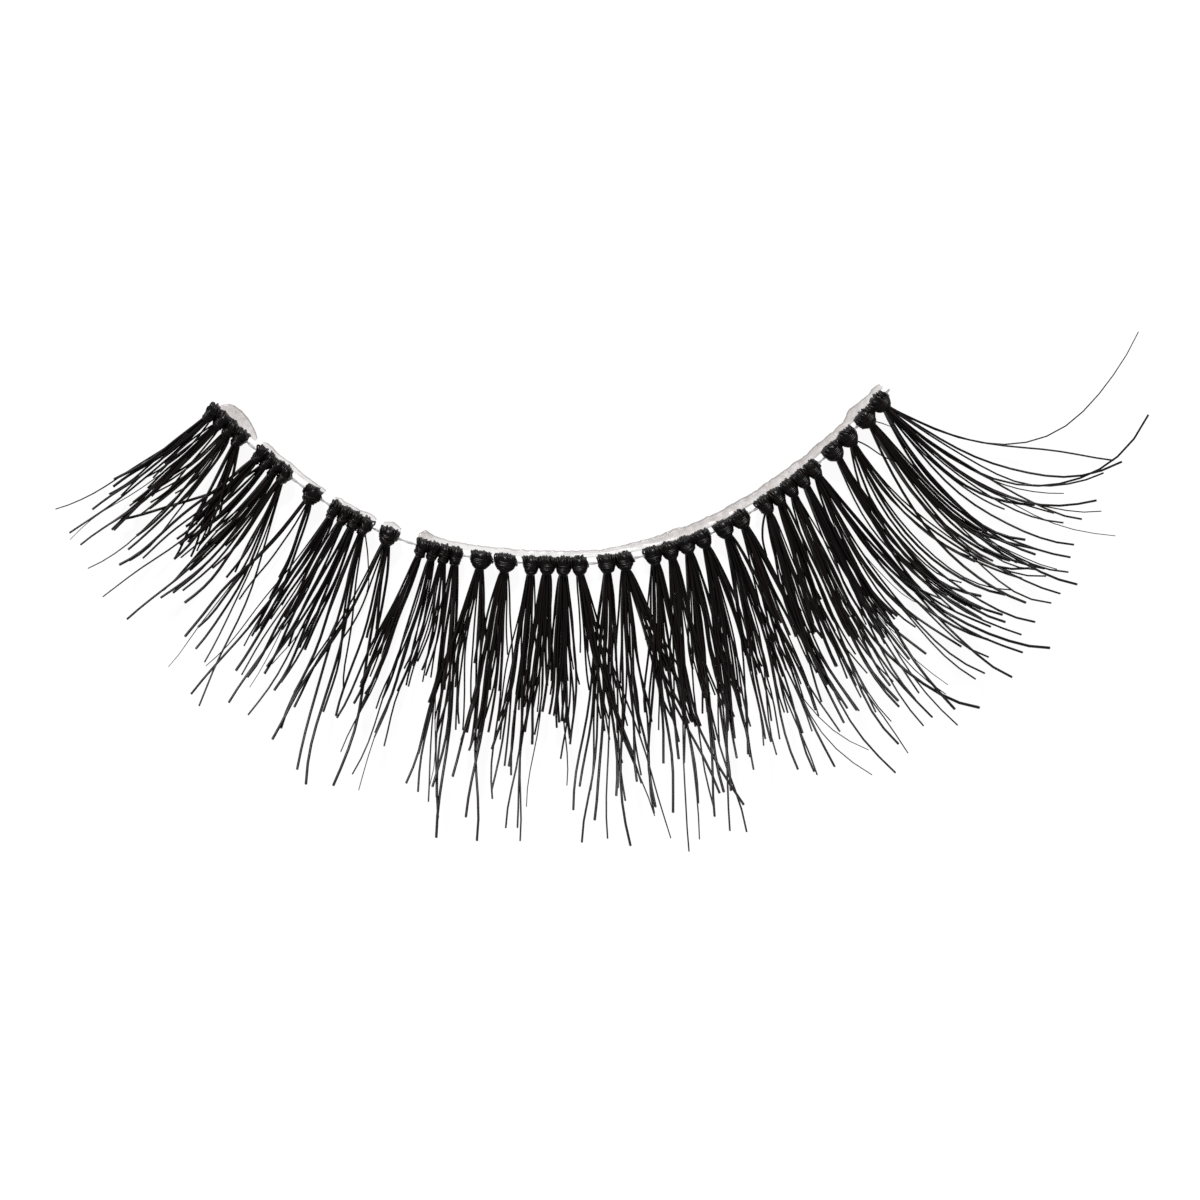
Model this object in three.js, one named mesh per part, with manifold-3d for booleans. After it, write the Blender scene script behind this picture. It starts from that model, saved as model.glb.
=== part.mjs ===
// A strip lash lying on its back with the hair tips curling up from the surface.
// Clusters of black hair are knotted side by side on a clear thread, which bends in
// the curve of an eyelid, and films of dried glue run along the band's inner edge.
// Millimetres. X runs along the strip, -Y towards the hair tips, Z up from the surface.
import * as THREE from "three";
import { mergeVertices } from "three/addons/utils/BufferGeometryUtils.js";
import Module from "manifold-3d";

const wasm = await Module();
wasm.setup();

// Thread
const THREAD_RADIUS = 0.07;
const THREAD_SIDES = 6;
const THREAD_STEP = 0.95;

// Band: arcs that run on from one another, each turning left; heading in degrees from +X
const BAND_HEADING = -45;
const BAND_ARCS = [
  { length: 6.2, turn: 9 },
  { length: 6.8, turn: 25 },
  { length: 5.4, turn: 12 },
  { length: 7.2, turn: 28 },
  { length: 8.8, turn: 22.5 },
];
const BAND_LENGTH = BAND_ARCS.reduce((sum, arc) => sum + arc.length, 0);

// Knots: a cup of wound hair that narrows to a neck where the hairs leave it
const KNOT_WIDEST = 1.0;
const KNOT_GAP = 0.03;
const KNOT_DEPTH = 0.9;
const KNOT_SIDES = 8;
const NECK_WIDTH = 0.38;
const BORE_GAP = 0.03;
const BORE_SPARE = 0.1;
const FINEST_EDGE = 0.006;
// out: from the thread towards the tips; swell: share of the width beyond the neck's;
// depth: share of the knot's depth
const KNOT_SECTIONS = [
  { out: -0.42, swell: 0.5, depth: 0.52 },
  { out: -0.24, swell: 1, depth: 0.94 },
  { out: 0.12, swell: 0.9, depth: 1 },
  { out: 0.5, swell: 0, depth: 0.72 },
];

// Groups of touching knots. at: the first knot's place along the band; lean: the hairs'
// direction at the root, in degrees from -Y towards +X, at the first and the last knot;
// reach: the longest hair's length in plan at those knots; sweep: how far a hair turns in
// plan by its tip; fan: half the angle that the hairs spread over; tines: how many stand for them
const GROUPS = [
  { at: 0.6, pitch: 0.54, knots: 4, lean: [-47, -25], reach: [8.4, 6.4], sweep: -6, fan: 7, tines: 3 },
  { at: 3.35, pitch: 0.46, knots: 4, lean: [-46, -25], reach: [9.0, 10.2], sweep: -10, fan: 7, tines: 3 },
  { at: 6.2, pitch: 0, knots: 1, lean: [-29, -29], reach: [9.0, 9.0], sweep: -12, fan: 11, tines: 4 },
  { at: 7.38, pitch: 0.5, knots: 4, lean: [-32, -12], reach: [8.4, 11.2], sweep: -8, fan: 6, tines: 3 },
  { at: 9.97, pitch: 0, knots: 1, lean: [-18, -18], reach: [10.3, 10.3], sweep: -8, fan: 11, tines: 4 },
  { at: 11.5, pitch: 0.51, knots: 4, lean: [-18, -3], reach: [10.6, 12.2], sweep: -3, fan: 6, tines: 3 },
  { at: 14.13, pitch: 1.06, knots: 2, lean: [-6, 1], reach: [12.0, 12.0], sweep: 0, fan: 10, tines: 4 },
  { at: 16.32, pitch: 0.7, knots: 4, lean: [-4, 10], reach: [10.5, 11.3], sweep: 2, fan: 6, tines: 4 },
  { at: 19.6, pitch: 0.77, knots: 2, lean: [-2, 5], reach: [12.0, 12.4], sweep: 4, fan: 9, tines: 4 },
  { at: 21.65, pitch: 0.75, knots: 4, lean: [2, 12], reach: [11.3, 12.2], sweep: 4, fan: 8, tines: 4 },
  { at: 24.93, pitch: 0.82, knots: 2, lean: [13, 20], reach: [11.0, 12.4], sweep: 10, fan: 8, tines: 4 },
  { at: 26.97, pitch: 0.65, knots: 5, lean: [17, 30], reach: [12.4, 12.2], sweep: 20, fan: 6, tines: 4 },
  { at: 30.75, pitch: 0.87, knots: 2, lean: [33, 38], reach: [12.2, 11.6], sweep: 34, fan: 7, tines: 4 },
  { at: 32.76, pitch: 0.93, knots: 2, lean: [44, 53], reach: [11.6, 10.8], sweep: 42, fan: 8, tines: 4 },
];

// Locks: the hairs of a cluster as flat-bottomed tines that share one curled sheet.
// across: place in the fan, from -1 to 1; share: of the group's reach
const TINE_SETS = {
  3: [
    { across: -1, share: 0.84 },
    { across: 0.1, share: 1 },
    { across: 1, share: 0.72 },
  ],
  4: [
    { across: -1, share: 0.8 },
    { across: -0.35, share: 1 },
    { across: 0.35, share: 0.88 },
    { across: 1, share: 0.94 },
  ],
};
const TINE_SEGMENTS = 4;
const SEGMENT_TURN = 15;
const TINE_ROOT = 0.2;
const TINE_ROOT_WIDTH = 0.08;
const TINE_WIDEST = 0.28;
const TINE_WIDEST_AT = 0.45;
const TINE_TIP = 0.07;
const TINE_THICKNESS = 0.11;
const TINE_SPACING = 0.14;
const SWEEP_POWER = 1.7;

// Long single hairs that leave the last knot and curl round in the plane of the strip
const STRAYS = [
  { knot: 41, lean: 46, sweep: 112, reach: 13.8, across: -0.6, layer: 2.2 },
  { knot: 41, lean: 67, sweep: 100, reach: 13.5, across: 0.6, layer: 2.2 },
];

// Curled sheet that the hairs follow, by the distance beyond a circle fitted to the band
const CURL_CENTRE = new THREE.Vector2(14.93, 12.56);
const CURL_RADIUS = 18.95;
const CURL_REACH = 12.5;
const CURL_DIP = 0.062;
const CURL_RISE = 3.8;
const LAYERS = [-1.5, 0.5, -0.5, 1.5];
const LAYER_STEP = 0.15;
const LAYER_SPREAD = 0.45;

// Glue films: flat strips tucked against the knots, width beyond the knots' inner edge
const FILM_THICKNESS = 0.09;
const FILM_TUCK = 0.4;
const FILM_STEP = 0.6;
const FILMS = [
  [
    { at: 0.75, width: 0.12 },
    { at: 1.25, width: 0.45 },
    { at: 2.1, width: 0.55 },
    { at: 2.75, width: 0.14 },
  ],
  [
    { at: 3.1, width: 0.12 },
    { at: 4.6, width: 0.16 },
    { at: 6.6, width: 0.12 },
  ],
  [
    { at: 7.1, width: 0.12 },
    { at: 8.2, width: 0.16 },
    { at: 9.2, width: 0.12 },
  ],
  [
    { at: 9.55, width: 0.12 },
    { at: 9.97, width: 0.26 },
    { at: 10.4, width: 0.12 },
  ],
  [
    { at: 11.2, width: 0.2 },
    { at: 11.6, width: 0.34 },
    { at: 13.2, width: 0.18 },
    { at: 16.5, width: 0.3 },
    { at: 19.5, width: 0.26 },
    { at: 22.5, width: 0.45 },
    { at: 26.5, width: 0.42 },
    { at: 31.0, width: 0.4 },
    { at: 33.2, width: 0.42 },
    { at: 34.3, width: 0.14 },
  ],
];

const HAIR_COLOUR = "#141112";
const THREAD_COLOUR = "#e4e7ea";
const FILM_COLOUR = "#d8d1cb";

const rad = THREE.MathUtils.degToRad;
const mix = THREE.MathUtils.lerp;

// Where the band is after a distance along it, and which way it heads there
function bandAt(distance) {
  const point = new THREE.Vector2();
  let heading = rad(BAND_HEADING);
  let left = distance;
  for (const arc of BAND_ARCS) {
    const bend = rad(arc.turn) / arc.length;
    const run = Math.min(left, arc.length);
    const next = heading + bend * run;
    point.x += (Math.sin(next) - Math.sin(heading)) / bend;
    point.y += (Math.cos(heading) - Math.cos(next)) / bend;
    heading = next;
    left -= run;
  }
  const tangent = new THREE.Vector2(Math.cos(heading), Math.sin(heading));
  const outward = new THREE.Vector2(tangent.y, -tangent.x);
  return { point, tangent, outward };
}

// A point by its distances from a place on the band: along it, out towards the tips, and up
function beside(place, along, out, up) {
  const plan = place.point.clone();
  plan.addScaledVector(place.tangent, along);
  plan.addScaledVector(place.outward, out);
  return new THREE.Vector3(plan.x, plan.y, up);
}

// A closed solid through rings of equally many points, with flat ends
function loft(rings) {
  const sides = rings[0].length;
  const faces = [];
  for (let ring = 0; ring + 1 < rings.length; ring += 1) {
    for (let side = 0; side < sides; side += 1) {
      const a = ring * sides + side;
      const b = ring * sides + ((side + 1) % sides);
      faces.push(a, a + sides, b, b, a + sides, b + sides);
    }
  }
  const last = (rings.length - 1) * sides;
  for (let side = 1; side + 1 < sides; side += 1) {
    faces.push(0, side, side + 1);
    faces.push(last, last + side + 1, last + side);
  }
  const geometry = new THREE.BufferGeometry().setFromPoints(rings.flat());
  geometry.setIndex(faces);
  return geometry;
}

function toManifold(geometry) {
  const vertProperties = new Float32Array(geometry.getAttribute("position").array);
  const triVerts = new Uint32Array(geometry.index.array);
  return new wasm.Manifold(new wasm.Mesh({ numProp: 3, vertProperties, triVerts }));
}

function fromManifold(solid) {
  const mesh = solid.getMesh();
  const geometry = new THREE.BufferGeometry();
  geometry.setAttribute("position", new THREE.BufferAttribute(mesh.vertProperties, mesh.numProp));
  geometry.setIndex(new THREE.BufferAttribute(mesh.triVerts, 1));
  return mergeVertices(geometry);
}

// A round ring about a place on the band, square to it, for the thread and its bore
function threadRing(place, along, radius) {
  const ring = [];
  for (let side = 0; side < THREAD_SIDES; side += 1) {
    const angle = (2 * Math.PI * side) / THREAD_SIDES;
    const out = radius * Math.cos(angle);
    const up = KNOT_DEPTH / 2 + radius * Math.sin(angle);
    ring.push(beside(place, along, out, up));
  }
  return ring;
}

function makeThread() {
  const steps = Math.round(BAND_LENGTH / THREAD_STEP);
  const rings = [];
  for (let step = 0; step <= steps; step += 1) {
    rings.push(threadRing(bandAt((BAND_LENGTH * step) / steps), 0, THREAD_RADIUS));
  }
  return loft(rings);
}

function makeKnot(place, width) {
  const rings = KNOT_SECTIONS.map((section) => {
    const half = mix(NECK_WIDTH, width, section.swell) / 2 / Math.cos(Math.PI / KNOT_SIDES);
    const deep = (KNOT_DEPTH * section.depth) / 2 / Math.cos(Math.PI / KNOT_SIDES);
    const ring = [];
    for (let side = 0; side < KNOT_SIDES; side += 1) {
      const angle = (2 * Math.PI * (side + 0.5)) / KNOT_SIDES;
      const up = KNOT_DEPTH / 2 - deep * Math.sin(angle);
      ring.push(beside(place, half * Math.cos(angle), section.out, up));
    }
    return ring;
  });
  return loft(rings);
}

function makeBore(place, width) {
  const reach = Math.max(width, NECK_WIDTH) / 2 + BORE_SPARE;
  const radius = THREAD_RADIUS + BORE_GAP;
  return loft([threadRing(place, -reach, radius), threadRing(place, reach, radius)]);
}

// Height of the curled sheet at a point in plan, in one of its layers
function sheetHeight(plan, layer) {
  const beyond = Math.max(plan.distanceTo(CURL_CENTRE) - CURL_RADIUS, 0);
  const curl = CURL_RISE * (beyond / CURL_REACH) ** 3 - CURL_DIP * beyond;
  const lift = layer * LAYER_STEP * (1 + (LAYER_SPREAD * beyond) / CURL_REACH);
  return KNOT_DEPTH / 2 + curl + lift;
}

// A tine's width by the share of its length: slim at the neck, full in the middle, fine at the tip
function tineWidth(share) {
  if (share < TINE_WIDEST_AT) return mix(TINE_ROOT_WIDTH, TINE_WIDEST, share / TINE_WIDEST_AT);
  return mix(TINE_WIDEST, TINE_TIP, (share - TINE_WIDEST_AT) / (1 - TINE_WIDEST_AT));
}

// One tine: a triangular strip that bends in plan as it goes
function makeTine(place, shape) {
  const plan = place.point.clone();
  plan.addScaledVector(place.outward, TINE_ROOT);
  plan.addScaledVector(place.tangent, shape.across * TINE_SPACING);
  const segments = Math.max(TINE_SEGMENTS, Math.ceil(Math.abs(shape.sweep) / SEGMENT_TURN));
  const rings = [];
  let travelled = 0;
  for (let step = 0; step <= segments; step += 1) {
    const goal = step / segments;
    const heading = rad(shape.lean + shape.sweep * ((travelled + goal) / 2) ** SWEEP_POWER);
    const ahead = new THREE.Vector2(Math.sin(heading), -Math.cos(heading));
    plan.addScaledVector(ahead, (goal - travelled) * shape.reach);
    travelled = goal;
    const half = tineWidth(travelled) / 2;
    const left = plan.clone().add(new THREE.Vector2(-ahead.y * half, ahead.x * half));
    const right = plan.clone().add(new THREE.Vector2(ahead.y * half, -ahead.x * half));
    const thin = mix(TINE_THICKNESS, TINE_TIP, travelled) / 2;
    rings.push([
      new THREE.Vector3(left.x, left.y, sheetHeight(left, shape.layer) - thin),
      new THREE.Vector3(right.x, right.y, sheetHeight(right, shape.layer) - thin),
      new THREE.Vector3(plan.x, plan.y, sheetHeight(plan, shape.layer) + thin),
    ]);
  }
  return loft(rings);
}

// A cluster: its knot and tines fused into one body, bored for the thread
function makeCluster(group, index, number) {
  const place = bandAt(group.at + index * group.pitch);
  const width = group.knots > 1 ? Math.min(group.pitch - KNOT_GAP, KNOT_WIDEST) : KNOT_WIDEST;
  const share = group.knots > 1 ? index / (group.knots - 1) : 0;
  const lean = mix(...group.lean, share);
  const reach = mix(...group.reach, share);
  const layer = LAYERS[number % LAYERS.length];
  const mirror = number % 2 === 0 ? 1 : -1;
  const shapes = TINE_SETS[group.tines].map((tine) => ({
    layer,
    across: tine.across * mirror,
    lean: lean + group.fan * tine.across * mirror,
    sweep: group.sweep,
    reach: reach * tine.share,
  }));
  shapes.push(...STRAYS.filter((stray) => stray.knot === number));
  let solid = toManifold(makeKnot(place, width));
  for (const shape of shapes) {
    solid = solid.add(toManifold(makeTine(place, shape)));
  }
  const bored = solid.subtract(toManifold(makeBore(place, width)));
  return fromManifold(bored.simplify(FINEST_EDGE));
}

// A film: a flat strip on the surface along the knots' inner edge
function makeFilm(stations) {
  const rings = [];
  for (let leg = 0; leg + 1 < stations.length; leg += 1) {
    const from = stations[leg];
    const to = stations[leg + 1];
    const steps = Math.max(Math.round((to.at - from.at) / FILM_STEP), 1);
    const first = leg === 0 ? 0 : 1;
    for (let step = first; step <= steps; step += 1) {
      const share = step / steps;
      const place = bandAt(mix(from.at, to.at, share));
      const edge = -FILM_TUCK - mix(from.width, to.width, share);
      rings.push([
        beside(place, 0, -FILM_TUCK, 0),
        beside(place, 0, -FILM_TUCK, FILM_THICKNESS),
        beside(place, 0, edge, FILM_THICKNESS),
        beside(place, 0, edge, 0),
      ]);
    }
  }
  return loft(rings);
}

const part = new THREE.Group();

function addMesh(name, geometry, colour, settings) {
  const material = new THREE.MeshStandardMaterial({ color: colour, ...settings });
  const mesh = new THREE.Mesh(geometry, material);
  mesh.name = name;
  part.add(mesh);
}

addMesh("band_thread", makeThread(), THREAD_COLOUR, { roughness: 0.25 });

let number = 0;
for (const group of GROUPS) {
  for (let index = 0; index < group.knots; index += 1) {
    number += 1;
    const name = `lash_${String(number).padStart(2, "0")}`;
    addMesh(name, makeCluster(group, index, number), HAIR_COLOUR, { roughness: 0.5 });
  }
}

FILMS.forEach((stations, index) => {
  addMesh(`glue_film_${index + 1}`, makeFilm(stations), FILM_COLOUR, { roughness: 0.35 });
});

// The origin is at the middle of the footprint, on the surface the strip lies on
const box = new THREE.Box3().setFromObject(part);
const middle = box.getCenter(new THREE.Vector3());
part.position.set(-middle.x, -middle.y, -box.min.z);

export default part;
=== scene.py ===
# A strip lash lying on its back: bundles of black false hair knotted on a clear thread,
# with dried glue along the inner edge. Metres; X along the strip, Z up from the surface.
import math

import bmesh
import bpy
from mathutils import Matrix, Vector, noise


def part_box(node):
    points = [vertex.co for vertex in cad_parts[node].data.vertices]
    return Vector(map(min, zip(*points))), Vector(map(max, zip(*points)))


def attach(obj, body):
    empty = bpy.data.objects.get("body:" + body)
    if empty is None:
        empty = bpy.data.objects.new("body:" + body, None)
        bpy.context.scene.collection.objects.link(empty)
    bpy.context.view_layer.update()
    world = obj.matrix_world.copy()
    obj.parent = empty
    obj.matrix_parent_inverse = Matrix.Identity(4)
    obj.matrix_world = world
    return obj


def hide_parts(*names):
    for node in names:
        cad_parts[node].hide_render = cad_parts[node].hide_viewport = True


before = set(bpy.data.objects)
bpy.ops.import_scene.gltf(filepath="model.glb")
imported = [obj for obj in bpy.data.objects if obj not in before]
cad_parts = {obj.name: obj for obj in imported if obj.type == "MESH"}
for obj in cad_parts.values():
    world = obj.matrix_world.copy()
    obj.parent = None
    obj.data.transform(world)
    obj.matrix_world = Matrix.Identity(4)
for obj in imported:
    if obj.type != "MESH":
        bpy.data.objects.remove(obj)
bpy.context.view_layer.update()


# Band thread
# A two-ply thread of clear nylon, bent in the curve of an eyelid. Every bundle of hair is
# knotted round it, so it shows only in the gaps between the knots and at its two ends.

# named sizes are in millimetres, and MM turns them to metres
MM = 0.001
# the way the band starts and its arcs, each with its length and how many degrees it turns
BAND_HEADING = -45
BAND_ARCS = ((6.2, 9), (6.8, 25), (5.4, 12), (7.2, 28), (8.8, 22.5))
BAND_LENGTH = sum(length for length, turn in BAND_ARCS)
BAND_STEPS = 200
# the thread's height over the surface, the length of a full twist, and how much of its start is
# hidden in the first knot
THREAD_HEIGHT = 0.45
THREAD_TWIST = 0.95
THREAD_HIDDEN = 0.45
THREAD_STEPS = 420
PATH_STEPS = 120
PLY_DIAMETER = 0.072
PLY_SIDES = 6
# how far a ply lies from the thread's middle, as a share of its radius
PLY_APART = 0.96
THREAD_CLEAR = "#e3e4e6"
THREAD_MILKY = "#f4f3f1"
# the size of the milky clouds, and how solid the nylon looks between and in them
CLOUD_SIZE = 0.4
CLOUD_ALPHA = (0.35, 0.75)


def band_at(distance):
    """Place on the band and its outward direction, in mm, that far from its start."""
    x, y, heading = 0.0, 0.0, math.radians(BAND_HEADING)
    for length, turn in BAND_ARCS:
        run = min(distance, length)
        rate = math.radians(turn) / length
        after = heading + rate * run
        x += (math.sin(after) - math.sin(heading)) / rate
        y -= (math.cos(after) - math.cos(heading)) / rate
        heading = after
        distance -= run
        if distance <= 0:
            break
    return Vector((x, y, 0)), Vector((math.sin(heading), -math.cos(heading), 0))


low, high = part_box("band_thread")
ends = [band_at(BAND_LENGTH * step / BAND_STEPS)[0] for step in range(BAND_STEPS + 1)]
band_middle = Vector([
    (min(p[axis] for p in ends) + max(p[axis] for p in ends)) / 2 for axis in range(3)
])
band_shift = (low + high) / 2 / MM - band_middle
band_shift.z = 0


def on_band(distance, out=0.0, up=0.0):
    """A point in metres beside the band: out towards the hair tips, up from the surface."""
    place, outward = band_at(distance)
    return (place + outward * out + band_shift + Vector((0, 0, up))) * MM


def linear(code, alpha=1.0):
    """An sRGB hex colour as linear red, green, blue and alpha."""
    parts = [int(code[i:i + 2], 16) / 255 for i in (1, 3, 5)]
    return [c / 12.92 if c <= 0.04045 else ((c + 0.055) / 1.055) ** 2.4 for c in parts] + [alpha]


def add(tree, kind, sockets=None, **settings):
    """Adds a node with its settings and links or values, and gives its first live output."""
    node = tree.nodes.new(kind)
    for name, value in settings.items():
        setattr(node, name, value)
    for key, value in (sockets or {}).items():
        if isinstance(value, bpy.types.NodeSocket):
            tree.links.new(value, node.inputs[key])
        else:
            node.inputs[key].default_value = value
    live = [socket for socket in node.outputs if socket.enabled]
    return live[0] if live else node


def reckon(tree, operation, *values):
    """Adds a math node that works on those links or numbers."""
    return add(tree, "ShaderNodeMath", dict(enumerate(values)), operation=operation)


def new_tree(name, sizes):
    """A geometry tree with a named input for each size: tree, its inputs, their identifiers."""
    tree = bpy.data.node_groups.new(name, "GeometryNodeTree")
    tree.interface.new_socket("Geometry", in_out="OUTPUT", socket_type="NodeSocketGeometry")
    tree.interface.new_socket("Geometry", in_out="INPUT", socket_type="NodeSocketGeometry")
    keys = {}
    for label, kind in sizes.items():
        socket = tree.interface.new_socket(label, in_out="INPUT", socket_type="NodeSocket" + kind)
        keys[label] = socket.identifier
    return tree, tree.nodes.new("NodeGroupInput").outputs, keys


def close_tree(tree, shape, material):
    """Ends a tree: smooth faces, instances made real, the material set."""
    smooth = add(tree, "GeometryNodeSetShadeSmooth", {0: shape})
    real = add(tree, "GeometryNodeRealizeInstances", {0: smooth})
    dressed = add(tree, "GeometryNodeSetMaterial", {0: real, "Material": material})
    add(tree, "NodeGroupOutput", {0: dressed})


def new_piece(name, points, edges=()):
    """An object at the origin whose mesh holds only points and edges."""
    mesh = bpy.data.meshes.new(name)
    mesh.from_pydata(points, edges, [])
    piece = bpy.data.objects.new(name, mesh)
    bpy.context.scene.collection.objects.link(piece)
    return piece


def grow(piece, tree, keys, sizes):
    """Puts a tree on a piece, with its sizes set by identifier."""
    modifier = piece.modifiers.new(tree.name, "NODES")
    modifier.node_group = tree
    for label, value in sizes.items():
        modifier[keys[label]] = value


def settle(piece, keep=()):
    """Turns what the trees make into the piece's own plain mesh, with the named attributes."""
    graph = bpy.context.evaluated_depsgraph_get()
    mesh = bpy.data.meshes.new_from_object(
        piece.evaluated_get(graph), preserve_all_data_layers=True, depsgraph=graph
    )
    piece.modifiers.clear()
    piece.data = mesh
    own = {"position", "sharp_face", "sharp_edge", "material_index", *keep}
    spare = [a.name for a in mesh.attributes if a.name not in own and not a.name.startswith(".")]
    for name in spare:
        mesh.attributes.remove(mesh.attributes[name])


# Clear nylon, drawn and twisted: glassy plies with milky clouds here and there.
thread_nylon = bpy.data.materials.new("clear_nylon_drawn_and_twisted")
thread_nylon.use_nodes = True
nodes = thread_nylon.node_tree
shader = nodes.nodes["Principled BSDF"]
where = add(nodes, "ShaderNodeTexCoord").node.outputs["Object"]
milk = add(
    nodes, "ShaderNodeTexNoise",
    {"Vector": where, "Scale": 1 / (CLOUD_SIZE * MM), "Detail": 2.0},
)
tint = add(
    nodes, "ShaderNodeMix", {0: milk, 6: linear(THREAD_CLEAR), 7: linear(THREAD_MILKY)},
    data_type="RGBA",
).node.outputs[2]
nodes.links.new(tint, shader.inputs["Base Color"])
cloud = add(nodes, "ShaderNodeMapRange", {0: milk, 3: CLOUD_ALPHA[0], 4: CLOUD_ALPHA[1]})
nodes.links.new(cloud, shader.inputs["Alpha"])
shader.inputs["Roughness"].default_value = 0.22
shader.inputs["IOR"].default_value = 1.53

thread_tree, given, thread_keys = new_tree("twisted_thread", {
    "Ply Diameter": "Float", "Twist Length": "Float", "Steps": "Int", "Material": "Material",
})
path = add(thread_tree, "GeometryNodeMeshToCurve", {0: given["Geometry"]})
path = add(thread_tree, "GeometryNodeResampleCurve", {0: path, "Count": given["Steps"]})
length = add(thread_tree, "GeometryNodeSplineParameter").node.outputs["Length"]
turns = reckon(thread_tree, "DIVIDE", length, given["Twist Length"])
angle = reckon(thread_tree, "MULTIPLY", turns, math.tau)
path = add(thread_tree, "GeometryNodeSetCurveTilt", {0: path, "Tilt": angle})
radius = reckon(thread_tree, "MULTIPLY", given["Ply Diameter"], 0.5)
ply = add(
    thread_tree, "GeometryNodeCurvePrimitiveCircle", {"Resolution": PLY_SIDES, "Radius": radius}
)
pair = add(thread_tree, "GeometryNodeJoinGeometry")
for side in (-1, 1):
    reach = reckon(thread_tree, "MULTIPLY", radius, side * PLY_APART)
    offset = add(thread_tree, "ShaderNodeCombineXYZ", {"X": reach})
    moved = add(thread_tree, "GeometryNodeTransform", {0: ply, "Translation": offset})
    thread_tree.links.new(moved, pair.node.inputs[0])
plies = add(thread_tree, "GeometryNodeCurveToMesh", {0: path, 1: pair, "Fill Caps": True})
close_tree(thread_tree, plies, given["Material"])

shown = BAND_LENGTH - THREAD_HIDDEN
run = [
    on_band(THREAD_HIDDEN + shown * step / PATH_STEPS, 0, THREAD_HEIGHT)
    for step in range(PATH_STEPS + 1)
]
thread = new_piece("twisted_thread", run, [(i, i + 1) for i in range(PATH_STEPS)])
grow(thread, thread_tree, thread_keys, {
    "Ply Diameter": PLY_DIAMETER * MM, "Twist Length": THREAD_TWIST * MM,
    "Steps": THREAD_STEPS, "Material": thread_nylon,
})
settle(thread)
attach(thread, "root")
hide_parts("band_thread")


# Hair bundles
# Forty-one bundles of black polyester fibre. Each is looped over the thread and wound round
# its own root, which makes a small cup; the loose ends leave its neck in locks of hair.

# groups of touching knots: the first one's place on the band, the pitch, how many
KNOT_GROUPS = (
    (0.6, 0.54, 4), (3.35, 0.46, 4), (6.2, 0, 1), (7.38, 0.5, 4), (9.97, 0, 1),
    (11.5, 0.51, 4), (14.13, 1.06, 2), (16.32, 0.7, 4), (19.6, 0.77, 2), (21.65, 0.75, 4),
    (24.93, 0.82, 2), (26.97, 0.65, 5), (30.75, 0.87, 2), (32.76, 0.93, 2),
)
# a knot is as wide as the pitch and what it presses into its neighbour, or this wide by itself
KNOT_PRESS = 0.05
KNOT_WIDEST = 1.0
KNOT_ALONE = 0.85
# where the locks leave the knot: out from the thread, and to each side of its middle
NECK_OUT = 0.3
NECK_SPREAD = 0.1

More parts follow.
